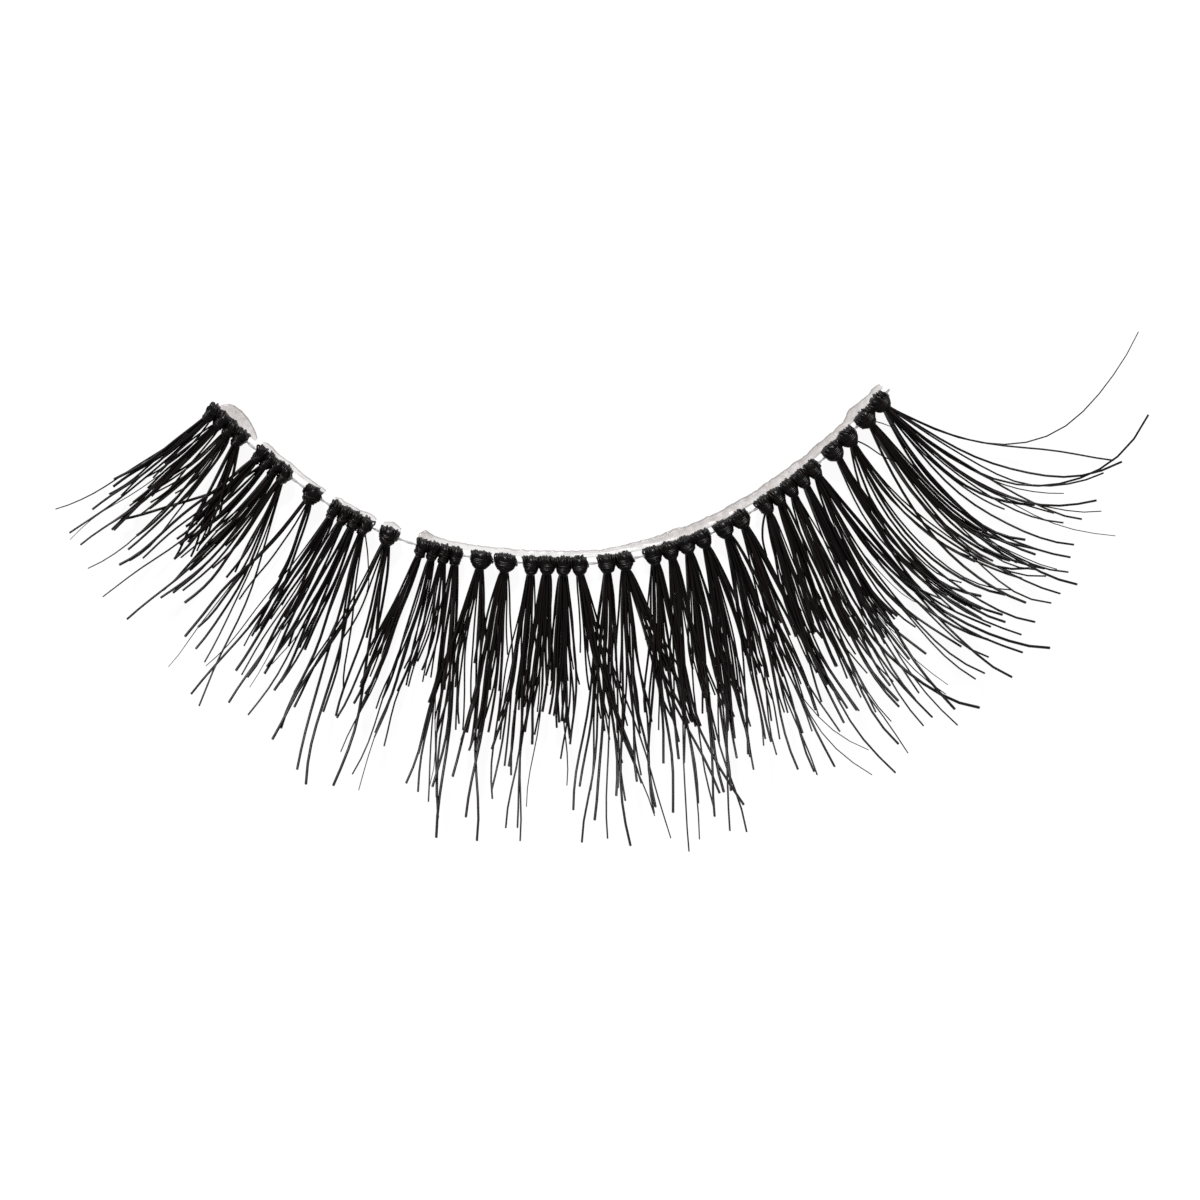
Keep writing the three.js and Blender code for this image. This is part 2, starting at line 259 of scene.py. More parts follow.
# the bundles, from the band's start: the lean of the neck, then its locks. A lean is degrees from
# straight down the plan towards the right. A lock has its tip's place across and down a plan of
# the strip with 23 units to the millimetre, then the number of hairs, and 1 where they are fine
# and taper off. The plan is turned a little against the strip, by so many degrees
PLAN_UNITS = 23
PLAN_ORIGIN = (606.6, 595.95)
PLAN_TURN = 0.5
BUNDLES = (
    (-46, (105, 489, 2), (57, 511, 1, 1), (79, 514, 2), (71, 534, 1), (145, 477, 3), (118, 492, 1)),
    (-45, (143, 487, 4), (104, 528, 2), (103, 533, 2), (83, 547, 1), (73, 542, 1, 1),
     (114, 530, 1), (131, 520, 2)),
    (-33, (120, 557, 3), (175, 496, 3), (90, 570, 1, 1), (147, 494, 3), (150, 502, 1),
     (140, 512, 2)),
    (-20, (184, 558, 2), (173, 558, 1), (196, 556, 2), (205, 540, 2), (190, 530, 1), (216, 518, 2),
     (224, 495, 2)),
    (-44, (172, 540, 2), (178, 543, 1), (143, 558, 1), (119, 564, 1), (173, 558, 1), (186, 527, 1),
     (200, 505, 2)),
    (-42, (120, 518, 1), (199, 535, 2), (183, 548, 2), (178, 545, 2), (103, 596, 1, 1),
     (190, 540, 1), (182, 559, 1)),
    (-35, (124, 622, 2), (169, 590, 3), (156, 604, 2), (190, 560, 3), (205, 545, 2)),
    (-25, (205, 572, 2), (172, 597, 2), (184, 602, 1), (227, 578, 1), (221, 600, 2), (199, 650, 1),
     (205, 662, 1), (199, 705, 1)),
    (-27, (184, 635, 1), (194, 623, 1), (162, 660, 1, 1), (265, 614, 3), (254, 637, 1),
     (240, 600, 1)),
    (-30, (254, 637, 2), (232, 654, 2), (234, 669, 1), (194, 695, 1), (207, 666, 1, 1),
     (280, 617, 2), (272, 620, 1)),
    (-28, (280, 632, 2), (241, 681, 2), (262, 672, 1), (250, 687, 1, 1), (231, 703, 1),
     (286, 645, 1)),
    (-22, (296, 656, 2), (278, 667, 1, 1), (262, 673, 2), (305, 650, 1), (274, 692, 2),
     (250, 715, 1)),
    (-16, (323, 646, 2), (288, 730, 1), (300, 769, 1), (325, 712, 1), (344, 690, 1), (311, 784, 1),
     (366, 592, 1, 1)),
    (-15, (288, 713, 2), (274, 739, 1), (334, 715, 1), (336, 785, 1), (373, 650, 2), (367, 638, 1),
     (345, 640, 1)),
    (-22, (354, 690, 2), (363, 696, 2), (353, 703, 1), (350, 727, 2), (345, 753, 1, 1),
     (375, 660, 2), (334, 716, 1)),
    (-12, (370, 737, 3), (349, 772, 1), (375, 737, 1), (358, 789, 1, 1), (391, 700, 2),
     (404, 690, 2)),
    (-7, (403, 690, 3), (418, 676, 2), (385, 746, 1), (416, 815, 2), (422, 784, 1, 1),
     (425, 685, 2)),
    (-5, (423, 685, 2), (429, 710, 2), (432, 790, 2), (432, 816, 1), (427, 795, 1), (438, 836, 1),
     (440, 697, 2)),
    (-8, (405, 782, 1), (415, 752, 1), (432, 746, 2), (462, 736, 3), (474, 839, 1), (467, 760, 2),
     (478, 690, 2), (489, 690, 1), (452, 690, 2)),
    (-7, (453, 776, 1), (462, 757, 2), (472, 735, 4), (476, 751, 1), (467, 816, 1), (489, 690, 2),
     (497, 693, 2), (485, 735, 2), (493, 798, 1), (510, 690, 2)),
    (-6, (497, 770, 3), (497, 735, 2), (506, 778, 2), (493, 790, 1), (515, 735, 3), (510, 827, 1),
     (514, 839, 1), (520, 720, 3), (530, 700, 2)),
    (-3, (535, 712, 4), (523, 733, 3), (522, 754, 2), (514, 826, 1), (529, 806, 1, 1),
     (540, 690, 3), (547, 703, 2), (532, 740, 2)),
    (0, (554, 726, 4), (558, 700, 3), (563, 748, 3), (567, 762, 2), (560, 727, 2), (564, 785, 1, 1),
     (572, 720, 2), (576, 690, 2), (548, 720, 2)),
    (10, (585, 654, 2), (603, 736, 2), (617, 740, 2), (623, 770, 2), (633, 770, 2), (640, 783, 1),
     (650, 816, 1, 1), (672, 836, 1, 1), (590, 690, 1), (606, 700, 2)),
    (0, (586, 841, 1), (583, 792, 2), (573, 809, 1), (597, 819, 1), (603, 736, 1), (611, 837, 1),
     (616, 795, 1), (623, 800, 1), (600, 700, 2), (612, 690, 3), (620, 735, 2)),
    (10, (627, 844, 1), (628, 787, 1), (642, 784, 2), (657, 812, 1), (647, 750, 1), (689, 729, 3),
     (682, 690, 3), (638, 735, 2), (620, 690, 2), (650, 722, 1), (717, 793, 1), (742, 804, 1)),
    (5, (656, 739, 3), (658, 806, 1), (662, 763, 1), (677, 811, 1), (664, 700, 2), (680, 760, 2),
     (672, 700, 2), (646, 640, 1), (698, 735, 3), (691, 728, 2)),
    (9, (693, 849, 1), (686, 774, 2), (691, 728, 3), (718, 720, 3), (698, 802, 1), (704, 837, 1, 1),
     (680, 700, 2), (710, 700, 2)),
    (13, (706, 718, 3), (717, 760, 2), (722, 814, 1), (734, 832, 1), (724, 791, 1), (700, 690, 2),
     (708, 810, 1), (738, 702, 3), (742, 735, 3), (728, 720, 2)),
    (19, (729, 760, 3), (735, 755, 2), (744, 762, 3), (731, 776, 1), (729, 829, 1), (736, 700, 2),
     (725, 700, 2), (728, 790, 1), (760, 672, 3), (752, 745, 2), (776, 712, 2)),
    (23, (752, 769, 1), (759, 746, 1), (778, 756, 2), (799, 768, 1), (815, 770, 1), (816, 774, 1),
     (801, 733, 1), (782, 738, 1), (756, 690, 2), (768, 690, 2), (785, 690, 2), (800, 685, 3),
     (770, 745, 2)),
    (26, (830, 767, 1), (832, 734, 1), (862, 752, 1, 1), (868, 775, 1, 1), (818, 729, 3),
     (809, 715, 2), (822, 683, 3), (797, 650, 2), (854, 715, 2), (790, 720, 2), (838, 700, 2)),
    (17, (823, 684, 2), (833, 692, 2), (853, 715, 2), (892, 772, 1), (818, 675, 2), (843, 677, 2),
     (766, 556, 1), (800, 620, 2), (845, 735, 2), (826, 640, 3)),
    (22, (879, 721, 2), (890, 721, 1, 1), (904, 753, 1, 1), (843, 677, 2), (866, 690, 2),
     (832, 640, 3), (901, 741, 1), (868, 715, 2), (852, 640, 3)),
    (25, (871, 656, 4), (890, 690, 2), (907, 702, 2), (902, 713, 2), (922, 725, 1), (930, 717, 1),
     (944, 694, 1, 1), (976, 708, 1), (850, 620, 2), (860, 640, 2)),
    (29, (896, 639, 4), (890, 653, 3), (909, 659, 1), (917, 659, 1), (901, 631, 1, 1),
     (930, 709, 2), (956, 724, 1), (955, 707, 1), (880, 620, 3)),
    (30, (995, 637, 4), (1052, 641, 1), (1019, 654, 1), (1018, 668, 1), (989, 655, 1),
     (917, 633, 3), (927, 634, 2), (975, 678, 1), (983, 673, 1), (956, 650, 1), (923, 607, 1, 1),
     (946, 685, 1, 1), (940, 600, 1)),
    (27, (976, 604, 3), (986, 615, 2), (998, 628, 2), (1019, 635, 1), (1003, 613, 1),
     (1006, 620, 1), (960, 603, 1)),
    (25, (1033, 622, 1), (1006, 593, 1), (985, 612, 1), (1012, 590, 1, 1), (1050, 577, 2),
     (1030, 570, 2), (962, 582, 1), (985, 553, 1, 1), (894, 462, 1, 1), (945, 590, 1)),
    (35, (1024, 603, 1), (1058, 594, 1), (1055, 597, 1), (1048, 571, 3), (1080, 574, 2),
     (1076, 583, 1), (1071, 556, 2), (1058, 566, 1, 1), (1036, 556, 2), (1010, 560, 1),
     (892, 427, 1, 1)),
    (46, (1045, 512, 2), (1084, 516, 3), (1092, 507, 1), (1101, 509, 1, 1), (1112, 538, 1, 1),
     (1075, 541, 1), (1037, 552, 1), (1028, 543, 2), (1102, 475, 1), (1113, 458, 1), (1121, 460, 1),
     (1063, 494, 1, 1), (1147, 415, 1), (1139, 336, 1, 1)),
)
# how much of a lock's own lean, beside its neighbours, shows at its root
OWN_LEAN = 0.95
# how many degrees more the hairs curl towards their tips at the band's far end
TIP_CURL = 20
# how far the ends of a hair's curve pull on it, as a share of its length
PULL = 0.33
# locks with a curve of their own: the tip's place, then the leans at root and tip, and the pull
OWN_CURVES = {
    (57, 511): (-50, -66, PULL), (120, 518): (-52, -77, PULL), (366, 592): (6, -14, PULL),
    (462, 736): (-15, 4, PULL), (567, 762): (9, -9, PULL), (766, 556): (-12, 22, PULL),
    (862, 752): (22, 64, PULL), (868, 775): (20, 57, PULL), (892, 772): (14, 45, PULL),
    (976, 708): (26, 86, PULL), (894, 462): (75, 62, PULL), (892, 427): (80, 70, PULL),
    (1052, 641): (30, 97, PULL), (1112, 538): (42, 80, PULL), (1080, 574): (38, 92, PULL),
    (1084, 516): (46, 88, PULL), (1063, 494): (48, 88, PULL), (1113, 458): (62, 86, PULL),
    (1121, 460): (58, 115, 0.4), (1147, 415): (43, 152, 0.48), (1139, 336): (57, 160, 0.48),
}

# the curled sheet that all hairs follow, by the distance beyond a circle fitted to the band: it
# dips by a share of that distance, and at the reach it has risen this much
CURL_CENTRE = Vector((14.93, 12.56, 0))
CURL_RADIUS = 18.95
CURL_REACH = 12.5
CURL_DIP = 0.062
CURL_RISE = 3.8
CURL_POWER = 3.0

# half the width of a lock at its neck, at its tip when it has one hair, what each further hair
# adds there, and how soon the lock opens
NECK_HALF = 0.04
LOCK_HALF = 0.07
LOCK_WIDENS = 0.15
LOCK_OPENS = 0.5
# the most that a hair strays inside its lock, and that it is cut short, as shares
HAIR_STRAY = 0.3
HAIR_SHORT = 0.4
# a hair's slow wave: its share of the hair's length, how many there are, and how far chance
# shifts it along
HAIR_WAVE = 0.1
WAVE_COUNT = 1.7
WAVE_SHIFT = 60.0
# how far hairs lie over each other, with the shares of that at the neck and added by the tip
HAIR_LIFT = 0.16
LIFT_NECK = 0.7
LIFT_TIP = 0.6

HAIR_DIAMETER = 0.12
HAIR_SIDES = 5
HAIR_POINTS = 14
# the thinnest and the thickest hair's radius, as shares of the diameter
HAIR_RADII = (0.32, 0.6)
# what a hair loses of its radius by its tip, what a fine one loses at its root and then by its
# tip, and how late the taper comes
HAIR_TAPER = 0.05
FINE_SLIM = 0.3
FINE_TAPER = 0.35
TAPER_LATE = 2.0
HAIR_BLACK = "#090607"
HAIR_BROWN = "#261816"
# patches of gloss along a hair and from hair to hair, and the roughness in and between them
GLOSS_PATCHES = (9.0, 40.0, 0.0)
HAIR_ROUGH = (0.26, 0.42)
# what most of a cloudy pattern lies between
CLOUD_LOW = 0.3
CLOUD_HIGH = 0.7
# seeds of neighbouring bundles are this far apart
SEED_STEP = 10

# Black polyester fibre, melt-spun and heat-set: near black with a soft silky gloss, and a
# trace of brown in some hairs. The gloss breaks up along each hair.
hair_fibre = bpy.data.materials.new("black_polyester_fibre_heat_set")
hair_fibre.use_nodes = True
nodes = hair_fibre.node_tree
shader = nodes.nodes["Principled BSDF"]
tone = add(nodes, "ShaderNodeAttribute", attribute_name="hair_tone").node.outputs["Fac"]
along = add(nodes, "ShaderNodeAttribute", attribute_name="along").node.outputs["Fac"]
spot = add(nodes, "ShaderNodeCombineXYZ", {"X": along, "Y": tone})
streak = add(nodes, "ShaderNodeVectorMath", {0: spot, 1: GLOSS_PATCHES}, operation="MULTIPLY")
gloss = add(nodes, "ShaderNodeTexNoise", {"Vector": streak, "Scale": 1.0, "Detail": 2.0})
warm = reckon(nodes, "MULTIPLY", tone, gloss)
tint = add(
    nodes, "ShaderNodeMix", {0: warm, 6: linear(HAIR_BLACK), 7: linear(HAIR_BROWN)},
    data_type="RGBA",
).node.outputs[2]
nodes.links.new(tint, shader.inputs["Base Color"])
rough = add(
    nodes, "ShaderNodeMapRange",
    {0: gloss, 1: CLOUD_LOW, 2: CLOUD_HIGH, 3: HAIR_ROUGH[0], 4: HAIR_ROUGH[1]},
)
nodes.links.new(rough, shader.inputs["Roughness"])
shader.inputs["IOR"].default_value = 1.5
shader.inputs["Specular IOR Level"].default_value = 0.35

hair_tree, given, hair_keys = new_tree("locks_of_hair", {
    "Hair Diameter": "Float", "Neck Spread": "Float", "Wave": "Float", "Lift": "Float",
    "Curl Centre": "Vector", "Curl Radius": "Float", "Curl Reach": "Float",
    "Curl Dip": "Float", "Curl Rise": "Float", "Root Height": "Float",
    "Seed": "Int", "Material": "Material",
})
count = add(
    hair_tree, "GeometryNodeInputNamedAttribute", {"Name": "hairs"}, data_type="INT"
)
copies = add(
    hair_tree, "GeometryNodeDuplicateElements", {0: given["Geometry"], "Amount": count},
    domain="POINT",
).node.outputs
rank = reckon(hair_tree, "ADD", copies["Duplicate Index"], 0.5)
rank = reckon(hair_tree, "DIVIDE", rank, count)
rank = reckon(hair_tree, "MULTIPLY_ADD", rank, 2.0, -1.0)
starts = add(
    hair_tree, "GeometryNodeStoreNamedAttribute",
    {0: copies["Geometry"], "Name": "rank", "Value": rank}, data_type="FLOAT", domain="POINT",
)
line = add(hair_tree, "GeometryNodeCurvePrimitiveLine", {"End": (MM, 0.0, 0.0)})
line = add(hair_tree, "GeometryNodeResampleCurve", {0: line, "Count": HAIR_POINTS})
hairs = add(hair_tree, "GeometryNodeInstanceOnPoints", {0: starts, "Instance": line})
hairs = add(hair_tree, "GeometryNodeRealizeInstances", {0: hairs})

# what each lock says of its hairs
root, near_handle, far_handle, tip = [
    add(hair_tree, "GeometryNodeInputNamedAttribute", {"Name": name}, data_type="FLOAT_VECTOR")
    for name in ("root", "near_handle", "far_handle", "tip")
]
rank, spread, ragged, fine = [
    add(hair_tree, "GeometryNodeInputNamedAttribute", {"Name": name}, data_type="FLOAT")
    for name in ("rank", "spread", "ragged", "fine")
]

# what chance gives to each hair
which = add(hair_tree, "GeometryNodeCurveOfPoint")
next_seed = reckon(hair_tree, "ADD", given["Seed"], 1.0)
chance = add(
    hair_tree, "FunctionNodeRandomValue",
    {0: (-1.0, -1.0, -1.0), 1: (1.0, 1.0, 1.0), "ID": which, "Seed": given["Seed"]},
    data_type="FLOAT_VECTOR",
)
luck = add(
    hair_tree, "FunctionNodeRandomValue",
    {0: (0.0, 0.0, 0.0), 1: (1.0, 1.0, 1.0), "ID": which, "Seed": next_seed},
    data_type="FLOAT_VECTOR",
)
chance = add(hair_tree, "ShaderNodeSeparateXYZ", {0: chance}).node.outputs
luck = add(hair_tree, "ShaderNodeSeparateXYZ", {0: luck}).node.outputs

# each hair bends evenly from its root to its tip, and is cut a little short of it
factor = add(hair_tree, "GeometryNodeSplineParameter")
later = reckon(hair_tree, "MULTIPLY_ADD", rank, 0.5, 0.5)
short = reckon(hair_tree, "MULTIPLY", ragged, luck["X"])
short = reckon(hair_tree, "MULTIPLY", short, later)
kept = reckon(hair_tree, "SUBTRACT", 1.0, short)
part = reckon(hair_tree, "MULTIPLY", factor, kept)
legs = [root, near_handle, far_handle, tip]
while len(legs) > 1:
    legs = [
        add(hair_tree, "ShaderNodeMix", {0: part, 4: start, 5: end}, data_type="VECTOR")
        for start, end in zip(legs, legs[1:])
    ]
middle = legs[0]

# its place across the lock, from the neck to the tip, and a slow wave
chord = add(hair_tree, "ShaderNodeVectorMath", {0: tip, 1: root}, operation="SUBTRACT")
across = add(
    hair_tree, "ShaderNodeVectorMath", {0: chord, 1: (0.0, 0.0, 1.0)}, operation="CROSS_PRODUCT"
)
across = add(hair_tree, "ShaderNodeVectorMath", {0: across}, operation="NORMALIZE")
stray = reckon(hair_tree, "MULTIPLY_ADD", chance["X"], HAIR_STRAY, rank)
near = reckon(hair_tree, "MULTIPLY", given["Neck Spread"], stray)
stray = reckon(hair_tree, "MULTIPLY_ADD", chance["Y"], HAIR_STRAY, rank)
far = reckon(hair_tree, "MULTIPLY", spread, stray)
eased = reckon(hair_tree, "POWER", part, LOCK_OPENS)
aside = add(hair_tree, "ShaderNodeMix", {0: eased, 2: near, 3: far}, data_type="FLOAT")
phase = reckon(hair_tree, "MULTIPLY_ADD", luck["Z"], WAVE_SHIFT, part)
wave = add(
    hair_tree, "ShaderNodeTexNoise", {"W": phase, "Scale": WAVE_COUNT, "Detail": 0.0},
    noise_dimensions="1D",
)
wave = reckon(hair_tree, "SUBTRACT", wave, 0.5)
wave = reckon(hair_tree, "MULTIPLY", wave, part)
span = add(
    hair_tree, "ShaderNodeVectorMath", {0: chord}, operation="LENGTH"
).node.outputs["Value"]
wave = reckon(hair_tree, "MULTIPLY", wave, span)
aside = reckon(hair_tree, "MULTIPLY_ADD", wave, given["Wave"], aside)
shift = add(hair_tree, "ShaderNodeVectorMath", {0: across, "Scale": aside}, operation="SCALE")
plan = add(hair_tree, "ShaderNodeVectorMath", {0: middle, 1: shift}, operation="ADD")

# its height on the curled sheet, with some hairs over others
apart = add(
    hair_tree, "ShaderNodeVectorMath", {0: plan, 1: given["Curl Centre"]}, operation="DISTANCE"
).node.outputs["Value"]
beyond = reckon(hair_tree, "SUBTRACT", apart, given["Curl Radius"])
beyond = reckon(hair_tree, "MAXIMUM", beyond, 0.0)
share = reckon(hair_tree, "DIVIDE", beyond, given["Curl Reach"])
rise = reckon(hair_tree, "POWER", share, CURL_POWER)
height = reckon(hair_tree, "MULTIPLY_ADD", rise, given["Curl Rise"], given["Root Height"])
dip = reckon(hair_tree, "MULTIPLY", beyond, given["Curl Dip"])
height = reckon(hair_tree, "SUBTRACT", height, dip)
over = reckon(hair_tree, "MULTIPLY_ADD", part, LIFT_TIP, LIFT_NECK)
over = reckon(hair_tree, "MULTIPLY", over, given["Lift"])
height = reckon(hair_tree, "MULTIPLY_ADD", chance["Z"], over, height)
upward = add(hair_tree, "ShaderNodeCombineXYZ", {"Z": height})
place = add(hair_tree, "ShaderNodeVectorMath", {0: plan, 1: upward}, operation="ADD")
hairs = add(hair_tree, "GeometryNodeSetPosition", {0: hairs, "Position": place})
for name, value in (("along", factor), ("hair_tone", luck["Z"])):
    hairs = add(
        hair_tree, "GeometryNodeStoreNamedAttribute", {0: hairs, "Name": name, "Value": value},
        data_type="FLOAT", domain="POINT",
    )

# coarse hairs are cut blunt; fine ones are thinner and run out further
slim = reckon(hair_tree, "MULTIPLY_ADD", fine, -FINE_SLIM, 1.0)
late = reckon(hair_tree, "POWER", factor, TAPER_LATE)
point = reckon(hair_tree, "MULTIPLY_ADD", fine, FINE_TAPER, HAIR_TAPER)
taper = reckon(hair_tree, "MULTIPLY", late, point)
taper = reckon(hair_tree, "SUBTRACT", 1.0, taper)
girth = add(
    hair_tree, "ShaderNodeMapRange", {0: luck["Y"], 3: HAIR_RADII[0], 4: HAIR_RADII[1]}
)
girth = reckon(hair_tree, "MULTIPLY", girth, given["Hair Diameter"])
girth = reckon(hair_tree, "MULTIPLY", girth, slim)
girth = reckon(hair_tree, "MULTIPLY", girth, taper)
section = add(
    hair_tree, "GeometryNodeCurvePrimitiveCircle", {"Resolution": HAIR_SIDES, "Radius": 1.0}
)
strands = add(
    hair_tree, "GeometryNodeCurveToMesh",
    {0: hairs, 1: section, "Scale": girth, "Fill Caps": True},
)
close_tree(hair_tree, strands, given["Material"])

# the knot: loops over the thread side by side, then wraps that narrow to the neck
STRAND_DIAMETER = 0.1
STRAND_SIDES = 5
# the thinnest and the thickest strand's radius, as shares of the diameter
STRAND_RADII = (0.4, 0.55)
RING_POINTS = 12
# the loops: at least so many, about a pitch apart, by their half sizes and how far back they lie
FEWEST_LOOPS = 3
LOOP_PITCH = 0.1
LOOP_OUT = 0.29
LOOP_UP = 0.3
LOOP_BACK = 0.06
# the share of the knot's width that the row of loops takes, how much smaller the end ones are,
# and the smallest and largest that chance makes them
LOOP_ROW = 0.84
LOOP_ROUND = 0.28
LOOP_SIZES = (0.9, 1.12)
# how far the loops lean by chance and how far they all slant, in radians
LOOP_LEAN = 0.3
LOOP_SLANT = 0.2
# the wraps: how far back they start, how far apart they are, how far they sag in radians, how
# far inside the knot's sides they lie, and how late they narrow to the neck
WRAPS = 8
WRAP_START = 0.08
WRAP_PITCH = 0.07
WRAP_SAG = 0.5
WRAP_INSET = 0.04
WRAP_LATE = 3.0
# half the depth of the knot at its mouth and at its neck
WRAP_DEPTHS = (0.33, 0.2)
NECK_WIDTH = 0.34
# the fibre inside: a spool in the loops and a round pith in the wraps, by their half sizes
SPOOL_SIDES = 10
SPOOL_OUT = 0.25
SPOOL_UP = 0.27
PITH_SIDES = 10
PITH_RINGS = 6
PITH_SHARE = 0.42
PITH_OUT = 0.36
PITH_UP = 0.33
# how far the strands are tangled in knots closer than a pitch and in others, how finely, and how
# far apart the patterns of two knots are
CLOSE_PITCH = 0.6
CLOSE_TANGLE = 0.26
WIDE_TANGLE = 0.12
TANGLE_GRAIN = 0.19
TANGLE_APART = 7.3

knot_tree, given, knot_keys = new_tree("wound_knot", {
    "Width": "Float", "Loops": "Int", "Strand": "Float", "Wraps": "Int", "Neck Width": "Float",
    "Place": "Vector", "Turn": "Vector", "Slant": "Float", "Tangle": "Float", "Seed": "Int",
    "Material": "Material",
})
index = add(knot_tree, "GeometryNodeInputIndex")
spare = reckon(knot_tree, "SUBTRACT", given["Loops"], 1.0)
free = reckon(knot_tree, "MULTIPLY", given["Width"], LOOP_ROW)
gap = reckon(knot_tree, "DIVIDE", free, spare)
start = reckon(knot_tree, "MULTIPLY", free, -0.5)
begin = add(knot_tree, "ShaderNodeCombineXYZ", {"X": start, "Y": -LOOP_BACK * MM})
pitch = add(knot_tree, "ShaderNodeCombineXYZ", {"X": gap})
row = add(
    knot_tree, "GeometryNodeMeshLine",
    {"Count": given["Loops"], "Start Location": begin, "Offset": pitch},
)
ring = add(
    knot_tree, "GeometryNodeCurvePrimitiveCircle", {"Resolution": RING_POINTS, "Radius": 1.0}
)
loop = add(
    knot_tree, "GeometryNodeTransform",
    {0: ring, "Rotation": (0.0, math.pi / 2, 0.0), "Scale": (LOOP_UP * MM, LOOP_OUT * MM, 1.0)},
)
lean = add(
    knot_tree, "FunctionNodeRandomValue",
    {0: (-LOOP_LEAN,) * 3, 1: (LOOP_LEAN,) * 3, "ID": index, "Seed": given["Seed"]},
    data_type="FLOAT_VECTOR",
)
slant = add(knot_tree, "ShaderNodeCombineXYZ", {"Z": given["Slant"]})
lean = add(knot_tree, "ShaderNodeVectorMath", {0: lean, 1: slant}, operation="ADD")
size = add(
    knot_tree, "FunctionNodeRandomValue",
    {2: LOOP_SIZES[0], 3: LOOP_SIZES[1], "ID": index, "Seed": given["Seed"]},
)
edge = reckon(knot_tree, "DIVIDE", index, spare)
edge = reckon(knot_tree, "MULTIPLY_ADD", edge, 2.0, -1.0)
edge = reckon(knot_tree, "MULTIPLY", edge, edge)
edge = reckon(knot_tree, "MULTIPLY_ADD", edge, -LOOP_ROUND, 1.0)
size = reckon(knot_tree, "MULTIPLY", size, edge)
loops = add(
    knot_tree, "GeometryNodeInstanceOnPoints",
    {0: row, "Instance": loop, "Rotation": lean, "Scale": size},
)
coil = add(
    knot_tree, "GeometryNodeMeshLine",
    {"Count": given["Wraps"], "Start Location": (0.0, -WRAP_START * MM, 0.0),
     "Offset": (0.0, WRAP_PITCH * MM, 0.0)},
)
hoop = add(
    knot_tree, "GeometryNodeTransform", {0: ring, "Rotation": (math.pi / 2 - WRAP_SAG, 0.0, 0.0)}
)
last = reckon(knot_tree, "SUBTRACT", given["Wraps"], 1.0)
down = reckon(knot_tree, "DIVIDE", index, last)
curve = reckon(knot_tree, "POWER", down, WRAP_LATE)
mouth = reckon(knot_tree, "MULTIPLY_ADD", given["Width"], 0.5, -WRAP_INSET * MM)
neck = reckon(knot_tree, "MULTIPLY", given["Neck Width"], 0.5)
wide = add(knot_tree, "ShaderNodeMix", {0: curve, 2: mouth, 3: neck}, data_type="FLOAT")
deep = add(
    knot_tree, "ShaderNodeMapRange",
    {0: curve, 3: WRAP_DEPTHS[0] * MM, 4: WRAP_DEPTHS[1] * MM},
)
girdle = add(knot_tree, "ShaderNodeCombineXYZ", {"X": wide, "Y": deep, "Z": deep})
wraps = add(
    knot_tree, "GeometryNodeInstanceOnPoints", {0: coil, "Instance": hoop, "Scale": girdle}
)
cords = add(knot_tree, "GeometryNodeJoinGeometry", {0: loops})
knot_tree.links.new(wraps, cords.node.inputs[0])
cords = add(knot_tree, "GeometryNodeRealizeInstances", {0: cords})
spot = add(knot_tree, "GeometryNodeInputPosition")
seed = reckon(knot_tree, "MULTIPLY", given["Seed"], TANGLE_APART)
lump = add(
    knot_tree, "ShaderNodeTexNoise",
    {"Vector": spot, "W": seed, "Scale": 1 / (TANGLE_GRAIN * MM), "Detail": 1.0},
    noise_dimensions="4D",
).node.outputs["Color"]
lump = add(knot_tree, "ShaderNodeVectorMath", {0: lump, 1: (0.5, 0.5, 0.5)}, operation="SUBTRACT")
lump = add(
    knot_tree, "ShaderNodeVectorMath", {0: lump, "Scale": given["Tangle"]}, operation="SCALE"
)
cords = add(knot_tree, "GeometryNodeSetPosition", {0: cords, "Offset": lump})
which = add(knot_tree, "GeometryNodeCurveOfPoint")
tone = add(
    knot_tree, "FunctionNodeRandomValue", {2: 0.0, 3: 1.0, "ID": which, "Seed": given["Seed"]}
)
factor = add(knot_tree, "GeometryNodeSplineParameter")
for name, value in (("along", factor), ("hair_tone", tone)):
    cords = add(
        knot_tree, "GeometryNodeStoreNamedAttribute", {0: cords, "Name": name, "Value": value},
        data_type="FLOAT", domain="POINT",
    )
thick = add(
    knot_tree, "ShaderNodeMapRange", {0: tone, 3: STRAND_RADII[0], 4: STRAND_RADII[1]}
)
thick = reckon(knot_tree, "MULTIPLY", thick, given["Strand"])
section = add(
    knot_tree, "GeometryNodeCurvePrimitiveCircle", {"Resolution": STRAND_SIDES, "Radius": 1.0}
)
wound = add(knot_tree, "GeometryNodeCurveToMesh", {0: cords, 1: section, "Scale": thick})
pith = add(
    knot_tree, "GeometryNodeMeshUVSphere",
    {"Segments": PITH_SIDES, "Rings": PITH_RINGS, "Radius": 1.0},
)
plump = reckon(knot_tree, "MULTIPLY", given["Width"], PITH_SHARE)
plump = add(
    knot_tree, "ShaderNodeCombineXYZ", {"X": plump, "Y": PITH_OUT * MM, "Z": PITH_UP * MM}
)
pith = add(knot_tree, "GeometryNodeTransform", {0: pith, "Scale": plump})
spool = add(
    knot_tree, "GeometryNodeMeshCylinder", {"Vertices": SPOOL_SIDES, "Radius": 1.0, "Depth": 1.0}
)
spooled = add(
    knot_tree, "ShaderNodeCombineXYZ", {"X": SPOOL_UP * MM, "Y": SPOOL_OUT * MM, "Z": free}
)
spool = add(
    knot_tree, "GeometryNodeTransform",
    {0: spool, "Translation": (0.0, -LOOP_BACK * MM, 0.0), "Rotation": (0.0, math.pi / 2, 0.0),
     "Scale": spooled},
)
knot = add(knot_tree, "GeometryNodeJoinGeometry", {0: wound})
for core in (pith, spool):
    knot_tree.links.new(core, knot.node.inputs[0])
